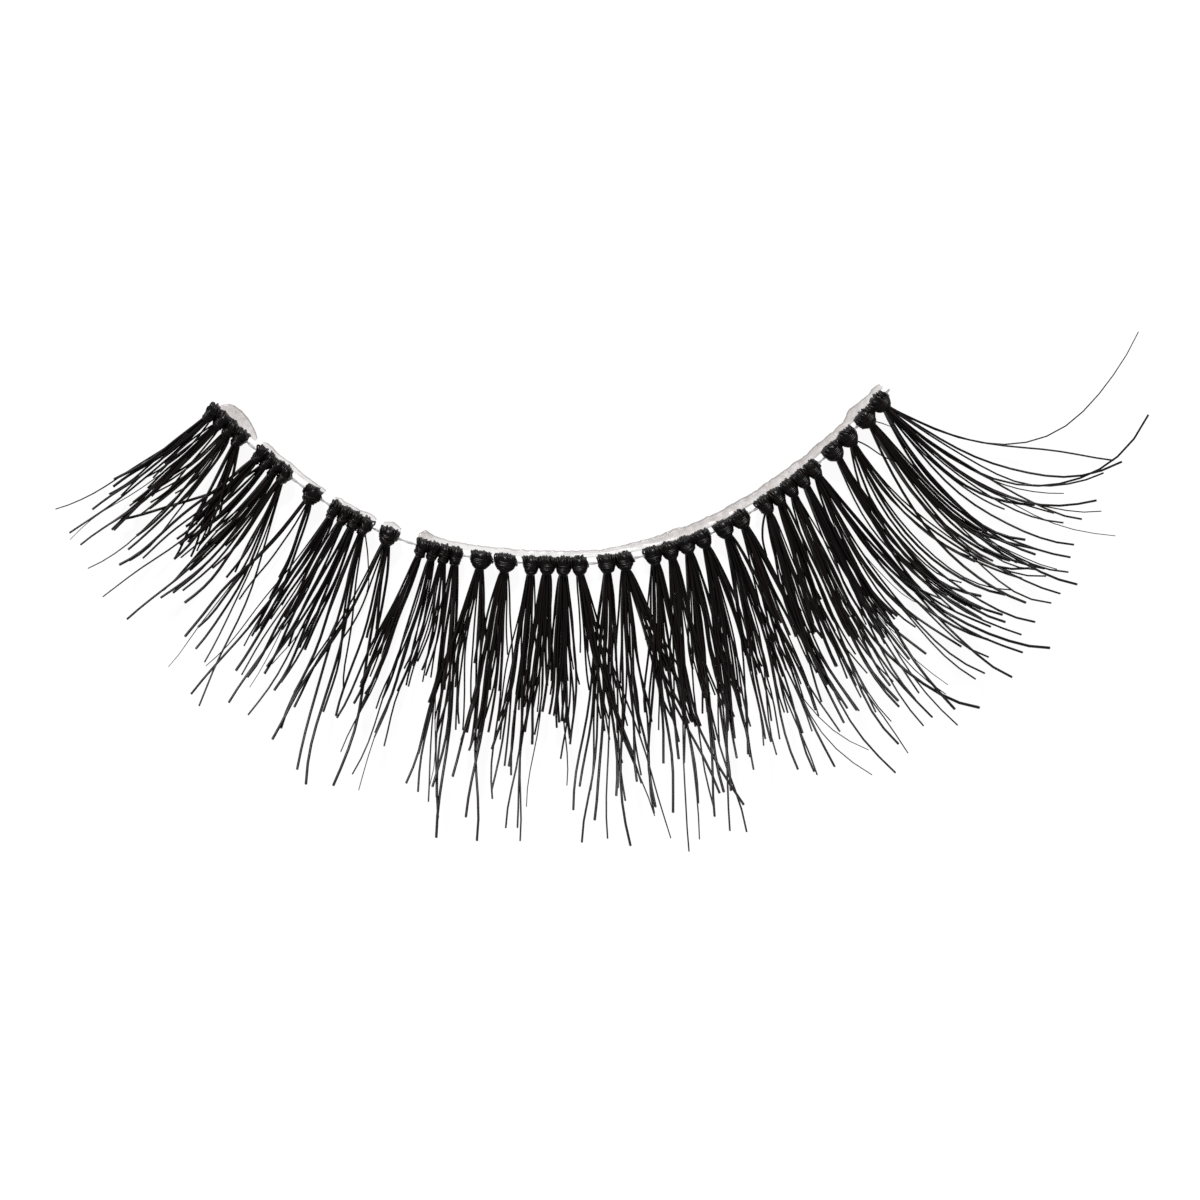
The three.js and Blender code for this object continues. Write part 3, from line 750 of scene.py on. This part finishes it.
knot = add(
    knot_tree, "GeometryNodeTransform",
    {0: knot, "Translation": given["Place"], "Rotation": given["Turn"]},
)
knot = add(knot_tree, "GeometryNodeSetMaterial", {0: knot, "Material": given["Material"]})
both = add(knot_tree, "GeometryNodeJoinGeometry", {0: given["Geometry"]})
knot_tree.links.new(knot, both.node.inputs[0])
close_tree(knot_tree, both, given["Material"])


def from_plan(across, down):
    """A place on the plan as millimetres in the strip's frame."""
    turned = Matrix.Rotation(math.radians(-PLAN_TURN), 3, "Z")
    return turned @ Vector((across - PLAN_ORIGIN[0], PLAN_ORIGIN[1] - down, 0)) / PLAN_UNITS


def heading(lean):
    """The direction in the strip's frame with that lean."""
    return Vector((math.sin(math.radians(lean)), -math.cos(math.radians(lean)), 0))


def lock_points(number, distance, neck_lean, locks):
    """A mesh of one point for each lock of a bundle, with what the hair tree reads from it."""
    place, outward = band_at(distance)
    sideways = Vector((-outward.y, outward.x, 0))
    neck = place + outward * NECK_OUT + band_shift
    fans = []
    for across, down, hairs, *fine in locks:
        end = from_plan(across, down)
        chord = end - neck
        lean = math.degrees(math.atan2(chord.x, -chord.y))
        fans.append((lean, end, hairs, bool(fine), OWN_CURVES.get((across, down))))
    fans.sort(key=lambda fan: fan[0])
    shares = [(lean, hairs) for lean, end, hairs, *others in fans]
    mean_lean = sum(lean * hairs for lean, hairs in shares) / sum(hairs for lean, hairs in shares)
    tip_curl = TIP_CURL * max(0, 2 * distance / BAND_LENGTH - 1)
    rows = []
    for rank, (lean, end, hairs, fine, own_curve) in enumerate(fans):
        share = 2 * rank / max(len(fans) - 1, 1) - 1
        start = neck + sideways * share * NECK_SPREAD
        leaving = neck_lean + OWN_LEAN * (lean - mean_lean)
        arriving = 2 * lean - leaving + tip_curl
        pull = PULL
        if own_curve:
            leaving, arriving, pull = own_curve
        reach = (end - start).length * pull
        near = start + heading(leaving) * reach
        far = end - heading(arriving) * reach
        rows.append((start, near, far, end, hairs, fine))
    piece = new_piece(f"lash_bundle_{number:02d}", [row[0] * MM for row in rows])
    for column, name in enumerate(("root", "near_handle", "far_handle", "tip")):
        values = piece.data.attributes.new(name, "FLOAT_VECTOR", "POINT").data
        for k, row in enumerate(rows):
            values[k].vector = row[column] * MM
    for name, kind, pick in (
        ("hairs", "INT", lambda hairs, fine: hairs),
        ("spread", "FLOAT", lambda hairs, fine: (LOCK_HALF + LOCK_WIDENS * (hairs - 1)) * MM),
        ("ragged", "FLOAT", lambda hairs, fine: 0.0 if hairs == 1 else HAIR_SHORT),
        ("fine", "FLOAT", lambda hairs, fine: float(fine)),
    ):
        values = piece.data.attributes.new(name, kind, "POINT").data
        for k, (*path, hairs, fine) in enumerate(rows):
            values[k].value = pick(hairs, fine)
    return piece


number = 0
for first_at, knot_pitch, knots in KNOT_GROUPS:
    for step in range(knots):
        distance = first_at + knot_pitch * step
        width = min(knot_pitch + KNOT_PRESS, KNOT_WIDEST) if knots > 1 else KNOT_ALONE
        tangle = CLOSE_TANGLE if knot_pitch < CLOSE_PITCH else WIDE_TANGLE
        number += 1
        neck_lean, *locks = BUNDLES[number - 1]
        bundle = lock_points(number, distance, neck_lean, locks)
        outward = band_at(distance)[1]
        grow(bundle, hair_tree, hair_keys, {
            "Hair Diameter": HAIR_DIAMETER * MM, "Neck Spread": NECK_HALF * MM,
            "Wave": HAIR_WAVE, "Lift": HAIR_LIFT * MM,
            "Curl Centre": (CURL_CENTRE + band_shift) * MM,
            "Curl Radius": CURL_RADIUS * MM, "Curl Reach": CURL_REACH * MM,
            "Curl Dip": CURL_DIP, "Curl Rise": CURL_RISE * MM,
            "Root Height": THREAD_HEIGHT * MM, "Seed": number * SEED_STEP,
            "Material": hair_fibre,
        })
        grow(bundle, knot_tree, knot_keys, {
            "Width": width * MM, "Loops": max(FEWEST_LOOPS, round(width / LOOP_PITCH)),
            "Strand": STRAND_DIAMETER * MM, "Wraps": WRAPS, "Neck Width": NECK_WIDTH * MM,
            "Place": on_band(distance, 0, THREAD_HEIGHT),
            "Turn": (0.0, 0.0, math.atan2(outward.y, outward.x) - math.pi / 2),
            "Slant": LOOP_SLANT, "Tangle": tangle * MM, "Seed": number, "Material": hair_fibre,
        })
        settle(bundle, ("along", "hair_tone"))
        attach(bundle, "root")
        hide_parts(f"lash_{number:02d}")


# Glue films
# Thin films of dried latex glue along the band's inner edge, dried flat on a tray. Each is
# stuck to the backs of the knots, rises against them, and has a ragged free edge.

# stations of each film along the band: distance, width of the free part, and how cloudy
FILMS = (
    ((0.62, 0.08, 0.6), (0.8, 0.28, 0.65), (1.1, 0.43, 0.65), (1.45, 0.48, 0.65), (1.9, 0.42, 0.6),
     (2.3, 0.29, 0.55), (2.6, 0.16, 0.5), (2.8, 0.05, 0.5)),
    ((3.1, 0.12, 0.5), (4.6, 0.1, 0.3), (5.6, 0.05, 0.3), (6.6, 0.1, 0.3)),
    ((7.1, 0.1, 0.3), (8.2, 0.12, 0.4), (9.2, 0.1, 0.3)),
    ((9.55, 0.12, 0.3), (9.97, 0.22, 0.4), (10.4, 0.12, 0.3)),
    ((11.2, 0.2, 0.8), (11.45, 0.34, 0.8), (11.9, 0.2, 0.4), (13.2, 0.13, 0.2), (16.5, 0.18, 0.3),
     (19.5, 0.17, 0.3), (22.5, 0.36, 0.6), (26.5, 0.32, 0.65), (31.0, 0.24, 0.7),
     (32.0, 0.22, 0.7), (32.6, 0.36, 0.7), (33.1, 0.24, 0.6), (34.3, 0.14, 0.5)),
)
# how ragged each film's free edge is
FILM_RAGGED = (0.25, 1, 1, 1, 1)
# the waves of its free edge, broad and small, and of its wet top: waves to the millimetre, the
# height, and a row of the chance pattern
EDGE_BROAD = (2.3, 0.05, 0.5)
EDGE_SMALL = (6.1, 0.025, 3.5)
WET_TOP = (1.7, 0.06, 8.5)
FILM_STEP = 0.06
FEWEST_STEPS = 6
# the ends are blunt: this share of the width at once, and the rest over so many steps
BLUNT_SHARE = 0.25
BLUNT_STEPS = 5
NARROWEST = 0.05
# how far behind the thread the free part starts and the held edge lies, and its height there
FILM_TUCK = 0.4
FILM_HOLD = 0.26
HOLD_UP = 0.26
# corners of the section, from the free edge inwards: how far in, and how high
RIM_FOOT = 0.02
RIM_UP = 0.035
RIM_TOP = 0.05
RIM_TOP_UP = 0.08
SKIN_UP = 0.085
SKIN_WET = 0.3
FREE_END = 0.02
FREE_END_UP = 0.15
# how near the free edge each corner of a film's section is
FREE_SHARES = [0.0, 1.0, 1.0, 1.0, 0.4, 0.0, 0.0]
FILM_GREY = "#e6e1e0"
FILM_PINK = "#dccfc9"
# the rim colour is painted shade: the dark outline that a thin clear edge shows against the white
# floor
FILM_RIM_SHADE = "#b9b2b0"
# sizes of the pink patches and of the grain, how deep the grain is, and how rough in its parts
PATCH_SIZE = 1.6
GRAIN_SIZE = 0.3
GRAIN_DEEP = 0.03
FILM_ROUGH = (0.08, 0.3)
# how much of the cloudiness is left where the grain is thin, and what the painted rim shade adds to
# it
THIN_VEIL = 0.35
RIM_SHADE_VEIL = 0.35
RIM_SHADE_STARTS = 0.85

# Latex glue, poured and air-dried: a cloudy, faintly pink skin with a soft gloss, clearer where
# it is thin, with a darker line of painted shade along its free rim for the dark outline of a thin
# clear edge.
dried_latex = bpy.data.materials.new("latex_glue_air_dried")
dried_latex.use_nodes = True
nodes = dried_latex.node_tree
shader = nodes.nodes["Principled BSDF"]
where = add(nodes, "ShaderNodeTexCoord").node.outputs["Object"]
patch = add(
    nodes, "ShaderNodeTexNoise",
    {"Vector": where, "Scale": 1 / (PATCH_SIZE * MM), "Detail": 3.0},
)
tint = add(
    nodes, "ShaderNodeMix", {0: patch, 6: linear(FILM_GREY), 7: linear(FILM_PINK)},
    data_type="RGBA",
).node.outputs[2]
free = add(nodes, "ShaderNodeAttribute", attribute_name="free_edge").node.outputs["Fac"]
# a darker, more solid line along the free rim: painted shade of the film's thin edge
rim_shade = add(nodes, "ShaderNodeMapRange", {0: free, 1: RIM_SHADE_STARTS, 2: 1.0})
tint = add(
    nodes, "ShaderNodeMix", {0: rim_shade, 6: tint, 7: linear(FILM_RIM_SHADE)}, data_type="RGBA"
).node.outputs[2]
nodes.links.new(tint, shader.inputs["Base Color"])
grain = add(
    nodes, "ShaderNodeTexNoise",
    {"Vector": where, "Scale": 1 / (GRAIN_SIZE * MM), "Detail": 2.0},
)
cloud = add(nodes, "ShaderNodeAttribute", attribute_name="cloud").node.outputs["Fac"]
veil = add(
    nodes, "ShaderNodeMapRange", {0: grain, 1: CLOUD_LOW, 2: CLOUD_HIGH, 3: THIN_VEIL, 4: 1.0}
)
veil = reckon(nodes, "MULTIPLY", veil, cloud)
veil = reckon(nodes, "MULTIPLY_ADD", rim_shade, RIM_SHADE_VEIL, veil)
nodes.links.new(veil, shader.inputs["Alpha"])
rough = add(
    nodes, "ShaderNodeMapRange",
    {0: grain, 1: CLOUD_LOW, 2: CLOUD_HIGH, 3: FILM_ROUGH[0], 4: FILM_ROUGH[1]},
)
nodes.links.new(rough, shader.inputs["Roughness"])
dent = add(
    nodes, "ShaderNodeBump", {"Height": grain, "Strength": 0.35, "Distance": GRAIN_DEEP * MM}
)
nodes.links.new(dent, shader.inputs["Normal"])
shader.inputs["IOR"].default_value = 1.48


def wave_at(distance, film_number, wave):
    """How far a chance wave stands out on that film, that far along the band, in mm."""
    rate, height, pattern_row = wave
    return noise.noise(Vector((distance * rate, film_number, pattern_row))) * height


for film_number, stations in enumerate(FILMS, 1):
    shell = bmesh.new()
    begin, finish = stations[0][0], stations[-1][0]
    steps = max(FEWEST_STEPS, round((finish - begin) / FILM_STEP))
    rings = []
    clouds = []
    for step in range(steps + 1):
        distance = begin + (finish - begin) * step / steps
        here = next(k for k in range(len(stations) - 1) if distance <= stations[k + 1][0] + 1e-9)
        near_at, near_width, near_cloud = stations[here]
        far_at, far_width, far_cloud = stations[here + 1]
        share = (distance - near_at) / (far_at - near_at)
        clouds += [near_cloud + (far_cloud - near_cloud) * share] * len(FREE_SHARES)
        ragged = wave_at(distance, film_number, EDGE_BROAD)
        ragged += wave_at(distance, film_number, EDGE_SMALL)
        ragged *= FILM_RAGGED[film_number - 1]
        blunt = min(1.0, min(step, steps - step) / BLUNT_STEPS + BLUNT_SHARE)
        width = near_width + (far_width - near_width) * share + ragged
        width = max(NARROWEST, width) * blunt ** 0.5
        wet = wave_at(distance, film_number, WET_TOP)
        edge = -FILM_TUCK - width
        ring = (
            (-FILM_HOLD, 0.0), (edge + RIM_FOOT, 0.0), (edge, RIM_UP),
            (edge + RIM_TOP, RIM_TOP_UP), (edge + width * 0.5, SKIN_UP + wet * SKIN_WET),
            (-FILM_TUCK + FREE_END, FREE_END_UP + wet), (-FILM_HOLD, HOLD_UP + wet),
        )
        rings.append([shell.verts.new(on_band(distance, out, max(up, 0.0))) for out, up in ring])
    for before, after in zip(rings, rings[1:]):
        for k in range(len(before)):
            n = (k + 1) % len(before)
            shell.faces.new((before[k], before[n], after[n], after[k]))
    shell.faces.new(rings[0][::-1])
    shell.faces.new(rings[-1])
    bmesh.ops.recalc_face_normals(shell, faces=shell.faces[:])
    mesh = bpy.data.meshes.new(f"glue_skin_{film_number}")
    shell.to_mesh(mesh)
    shell.free()
    mesh.polygons.foreach_set("use_smooth", [True] * len(mesh.polygons))
    for name, values in (("cloud", clouds), ("free_edge", FREE_SHARES * (steps + 1))):
        mesh.attributes.new(name, "FLOAT", "POINT").data.foreach_set("value", values)
    mesh.materials.append(dried_latex)
    film = bpy.data.objects.new(f"glue_skin_{film_number}", mesh)
    bpy.context.scene.collection.objects.link(film)
    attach(film, "root")
    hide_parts(f"glue_film_{film_number}")


# Floor, light and camera
# A sheet of matt opal glass lit from below, so it shows hardly any shadow, a dim room and a soft
# lamp above; the camera looks straight down from far off, so the strip shows in plan.

# the room's sizes are in metres, and the floor is a hair's breadth under the strip
FLOOR_HALF = 2.0
FLOOR_DROP = -0.02 * MM
OPAL_DARK = "#7a7a7a"
OPAL_PALE = "#808080"
OPAL_GRAIN = 2
OPAL_GLOW = 0.93
WHITE = "#ffffff"
ROOM_LIGHT = 0.2
LAMP_SIZE = 0.12
LAMP_WATTS = 2.5
LAMP_PLACE = (-0.06, 0.5, 0.34)
# the picture is square, and so many units of the plan wide
FRAME_UNITS = 1200
CAMERA_HEIGHT = 0.6
CAMERA_NEAR = 0.01
CAMERA_FAR = 20
SENSOR_WIDTH = 36

# Opal glass, ground matt: an even white that glows from below, with a very faint grain.
opal_glass = bpy.data.materials.new("opal_glass_matt_lit_from_below")
opal_glass.use_nodes = True
nodes = opal_glass.node_tree
shader = nodes.nodes["Principled BSDF"]
where = add(nodes, "ShaderNodeTexCoord").node.outputs["Object"]
tooth = add(
    nodes, "ShaderNodeTexNoise",
    {"Vector": where, "Scale": 1 / (OPAL_GRAIN * MM), "Detail": 2.0},
)
tint = add(
    nodes, "ShaderNodeMix", {0: tooth, 6: linear(OPAL_DARK), 7: linear(OPAL_PALE)},
    data_type="RGBA",
).node.outputs[2]
nodes.links.new(tint, shader.inputs["Base Color"])
shader.inputs["Roughness"].default_value = 0.9
shader.inputs["Specular IOR Level"].default_value = 0.1
shader.inputs["Emission Color"].default_value = linear(WHITE)
shader.inputs["Emission Strength"].default_value = OPAL_GLOW
floor_mesh = bpy.data.meshes.new("floor")
floor_mesh.from_pydata(
    [(-FLOOR_HALF, -FLOOR_HALF, FLOOR_DROP), (FLOOR_HALF, -FLOOR_HALF, FLOOR_DROP),
     (FLOOR_HALF, FLOOR_HALF, FLOOR_DROP), (-FLOOR_HALF, FLOOR_HALF, FLOOR_DROP)],
    [], [(0, 1, 2, 3)],
)
floor_mesh.materials.append(opal_glass)
floor = bpy.data.objects.new("floor", floor_mesh)
bpy.context.scene.collection.objects.link(floor)

world = bpy.data.worlds.new("white_room")
bpy.context.scene.world = world
world.use_nodes = True
sky = world.node_tree.nodes["Background"]
sky.inputs["Color"].default_value = linear(WHITE)
sky.inputs["Strength"].default_value = ROOM_LIGHT

lamp = bpy.data.lights.new("soft_lamp", "AREA")
lamp.shape = "DISK"
lamp.size = LAMP_SIZE
lamp.energy = LAMP_WATTS
lamp_object = bpy.data.objects.new("soft_lamp", lamp)
bpy.context.scene.collection.objects.link(lamp_object)
lamp_object.location = LAMP_PLACE
lamp_object.rotation_euler = (-lamp_object.location).to_track_quat("-Z", "Y").to_euler()

view_centre = from_plan(FRAME_UNITS / 2, FRAME_UNITS / 2) * MM
camera = bpy.data.cameras.new("camera")
camera.sensor_width = SENSOR_WIDTH
camera.lens = SENSOR_WIDTH * CAMERA_HEIGHT / (FRAME_UNITS / PLAN_UNITS * MM)
camera.clip_start = CAMERA_NEAR
camera.clip_end = CAMERA_FAR
camera_object = bpy.data.objects.new("camera", camera)
bpy.context.scene.collection.objects.link(camera_object)
camera_object.location = view_centre + Vector((0, 0, CAMERA_HEIGHT + THREAD_HEIGHT * MM))
camera_object.rotation_euler = (0, 0, math.radians(-PLAN_TURN))
bpy.context.scene.camera = camera_object
bpy.context.scene.view_settings.view_transform = "Standard"
